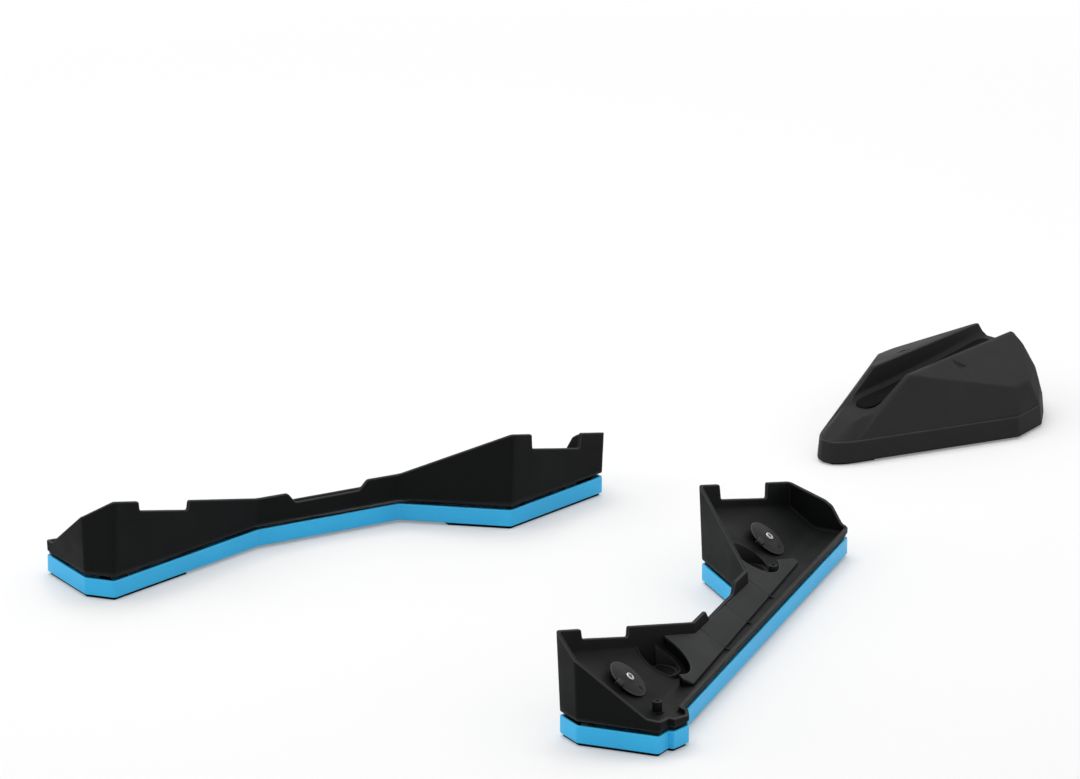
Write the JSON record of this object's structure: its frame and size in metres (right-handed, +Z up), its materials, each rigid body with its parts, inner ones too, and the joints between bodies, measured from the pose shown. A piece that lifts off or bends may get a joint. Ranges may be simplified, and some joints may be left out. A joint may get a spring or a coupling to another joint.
{
  "type": "trainer rocker plate",
  "caption": "Mirrored rocker plates whose trays roll fore and aft and rock sideways under a bicycle trainer's legs, with a grooved front-wheel block",
  "frame": {"origin": "on the floor, in the middle of the bounding box of the whole set", "axes": "+X to the rider's right, +Y forward towards the front-wheel block, +Z up"},
  "size_m": [0.7906, 1.1106, 0.1037],
  "materials": {
    "base_blue": "satin blue moulded plastic",
    "tray_black": "satin black moulded plastic",
    "deck_grey": "matt dark grey moulded plastic",
    "rubber": "black rubber",
    "steel": "plain steel",
    "roller_nylon": "off-white nylon",
    "disc_grey": "satin dark grey plastic",
    "screw_bright": "bright zinc-plated steel",
    "block_black": "satin black moulded plastic"
  },
  "bodies": {
    "base_set": {"right_base_tray": "base_blue", "right_pad_rear": "rubber", "right_pad_front": "rubber", "right_rail_rear": "steel", "right_rail_front": "steel", "right_bumper_rear": "rubber", "right_bumper_front": "rubber", "left_base_tray": "base_blue", "left_pad_rear": "rubber", "left_pad_front": "rubber", "left_rail_rear": "steel", "left_rail_front": "steel", "left_bumper_rear": "rubber", "left_bumper_front": "rubber", "block_shell": "block_black", "block_wheel_liner": "rubber", "block_pad_nose": "rubber", "block_pad_front": "rubber"},
    "right_rolling_carriage": {"right_carriage": "steel", "right_axle_1": "steel", "right_axle_2": "steel", "right_axle_3": "steel", "right_axle_4": "steel", "right_rock_pin_rear": "steel", "right_rock_pin_front": "steel"},
    "right_rocking_tray": {"right_tray": "tray_black", "right_deck_panel": "deck_grey", "right_foot_cup_rear": "rubber", "right_foot_cup_front": "rubber", "right_latch_rear": "disc_grey", "right_latch_front": "disc_grey", "right_disc_screw_rear": "screw_bright", "right_disc_screw_front": "screw_bright"},
    "right_roller_body_1": {"right_roller_1": "roller_nylon"},
    "right_roller_body_2": {"right_roller_2": "roller_nylon"},
    "right_roller_body_3": {"right_roller_3": "roller_nylon"},
    "right_roller_body_4": {"right_roller_4": "roller_nylon"},
    "right_disc_body_rear": {"right_lock_disc_rear": "disc_grey"},
    "right_disc_body_front": {"right_lock_disc_front": "disc_grey"},
    "left_rolling_carriage": {"left_carriage": "steel", "left_axle_1": "steel", "left_axle_2": "steel", "left_axle_3": "steel", "left_axle_4": "steel", "left_rock_pin_rear": "steel", "left_rock_pin_front": "steel"},
    "left_rocking_tray": {"left_tray": "tray_black", "left_deck_panel": "deck_grey", "left_foot_cup_rear": "rubber", "left_foot_cup_front": "rubber", "left_latch_rear": "disc_grey", "left_latch_front": "disc_grey", "left_disc_screw_rear": "screw_bright", "left_disc_screw_front": "screw_bright"},
    "left_roller_body_1": {"left_roller_1": "roller_nylon"},
    "left_roller_body_2": {"left_roller_2": "roller_nylon"},
    "left_roller_body_3": {"left_roller_3": "roller_nylon"},
    "left_roller_body_4": {"left_roller_4": "roller_nylon"},
    "left_disc_body_rear": {"left_lock_disc_rear": "disc_grey"},
    "left_disc_body_front": {"left_lock_disc_front": "disc_grey"}
  },
  "joints": [
    {"name": "right_fore_aft_slide", "type": "slide", "parent": "base_set", "child": "right_rolling_carriage", "axis": [0, 1, 0], "range_m": [-0.02, 0.02], "stiffness_N_per_m": 400},
    {"name": "right_roller_1_spin", "type": "hinge", "parent": "right_rolling_carriage", "child": "right_roller_body_1", "pos_m": [0.3006, -0.50084, 0.0197], "axis": [1, 0, 0], "range_deg": [-105, 105]},
    {"name": "right_roller_2_spin", "type": "hinge", "parent": "right_rolling_carriage", "child": "right_roller_body_2", "pos_m": [0.3006, -0.45084, 0.0197], "axis": [1, 0, 0], "range_deg": [-105, 105]},
    {"name": "right_roller_3_spin", "type": "hinge", "parent": "right_rolling_carriage", "child": "right_roller_body_3", "pos_m": [0.13931, -0.08203, 0.0197], "axis": [1, 0, 0], "range_deg": [-105, 105]},
    {"name": "right_roller_4_spin", "type": "hinge", "parent": "right_rolling_carriage", "child": "right_roller_body_4", "pos_m": [0.13931, -0.03203, 0.0197], "axis": [1, 0, 0], "range_deg": [-105, 105]},
    {"name": "right_side_rock", "type": "hinge", "parent": "right_rolling_carriage", "child": "right_rocking_tray", "pos_m": [0.3069, -0.47584, 0.026], "axis": [-0.3759, 0.9267, 0], "range_deg": [-1.3, 1.3], "stiffness_Nm_per_rad": 120},
    {"name": "right_lock_disc_rear_turn", "type": "hinge", "parent": "right_rocking_tray", "child": "right_disc_body_rear", "pos_m": [0.32432, -0.48527, 0.052], "axis": [0.5956, 0.2416, 0.766], "range_deg": [0, 90]},
    {"name": "right_lock_disc_front_turn", "type": "hinge", "parent": "right_rocking_tray", "child": "right_disc_body_front", "pos_m": [0.16923, -0.07768, 0.0458], "axis": [0.5956, 0.2416, 0.766], "range_deg": [0, 90]},
    {"name": "left_fore_aft_slide", "type": "slide", "parent": "base_set", "child": "left_rolling_carriage", "axis": [0, 1, 0], "range_m": [-0.02, 0.02], "stiffness_N_per_m": 400},
    {"name": "left_roller_1_spin", "type": "hinge", "parent": "left_rolling_carriage", "child": "left_roller_body_1", "pos_m": [-0.3006, -0.50084, 0.0197], "axis": [1, 0, 0], "range_deg": [-105, 105]},
    {"name": "left_roller_2_spin", "type": "hinge", "parent": "left_rolling_carriage", "child": "left_roller_body_2", "pos_m": [-0.3006, -0.45084, 0.0197], "axis": [1, 0, 0], "range_deg": [-105, 105]},
    {"name": "left_roller_3_spin", "type": "hinge", "parent": "left_rolling_carriage", "child": "left_roller_body_3", "pos_m": [-0.13931, -0.08203, 0.0197], "axis": [1, 0, 0], "range_deg": [-105, 105]},
    {"name": "left_roller_4_spin", "type": "hinge", "parent": "left_rolling_carriage", "child": "left_roller_body_4", "pos_m": [-0.13931, -0.03203, 0.0197], "axis": [1, 0, 0], "range_deg": [-105, 105]},
    {"name": "left_side_rock", "type": "hinge", "parent": "left_rolling_carriage", "child": "left_rocking_tray", "pos_m": [-0.3069, -0.47584, 0.026], "axis": [0.3759, 0.9267, 0], "range_deg": [-1.3, 1.3], "stiffness_Nm_per_rad": 120},
    {"name": "left_lock_disc_rear_turn", "type": "hinge", "parent": "left_rocking_tray", "child": "left_disc_body_rear", "pos_m": [-0.32432, -0.48527, 0.052], "axis": [-0.5956, 0.2416, 0.766], "range_deg": [0, 90]},
    {"name": "left_lock_disc_front_turn", "type": "hinge", "parent": "left_rocking_tray", "child": "left_disc_body_front", "pos_m": [-0.16923, -0.07768, 0.0458], "axis": [-0.5956, 0.2416, 0.766], "range_deg": [0, 90]}
  ],
  "couplings": [
    {"joint": "right_roller_1_spin", "follows": "right_fore_aft_slide", "rad_per_m": -90.909},
    {"joint": "right_roller_2_spin", "follows": "right_fore_aft_slide", "rad_per_m": -90.909},
    {"joint": "right_roller_3_spin", "follows": "right_fore_aft_slide", "rad_per_m": -90.909},
    {"joint": "right_roller_4_spin", "follows": "right_fore_aft_slide", "rad_per_m": -90.909},
    {"joint": "left_roller_1_spin", "follows": "left_fore_aft_slide", "rad_per_m": -90.909},
    {"joint": "left_roller_2_spin", "follows": "left_fore_aft_slide", "rad_per_m": -90.909},
    {"joint": "left_roller_3_spin", "follows": "left_fore_aft_slide", "rad_per_m": -90.909},
    {"joint": "left_roller_4_spin", "follows": "left_fore_aft_slide", "rad_per_m": -90.909}
  ]
}
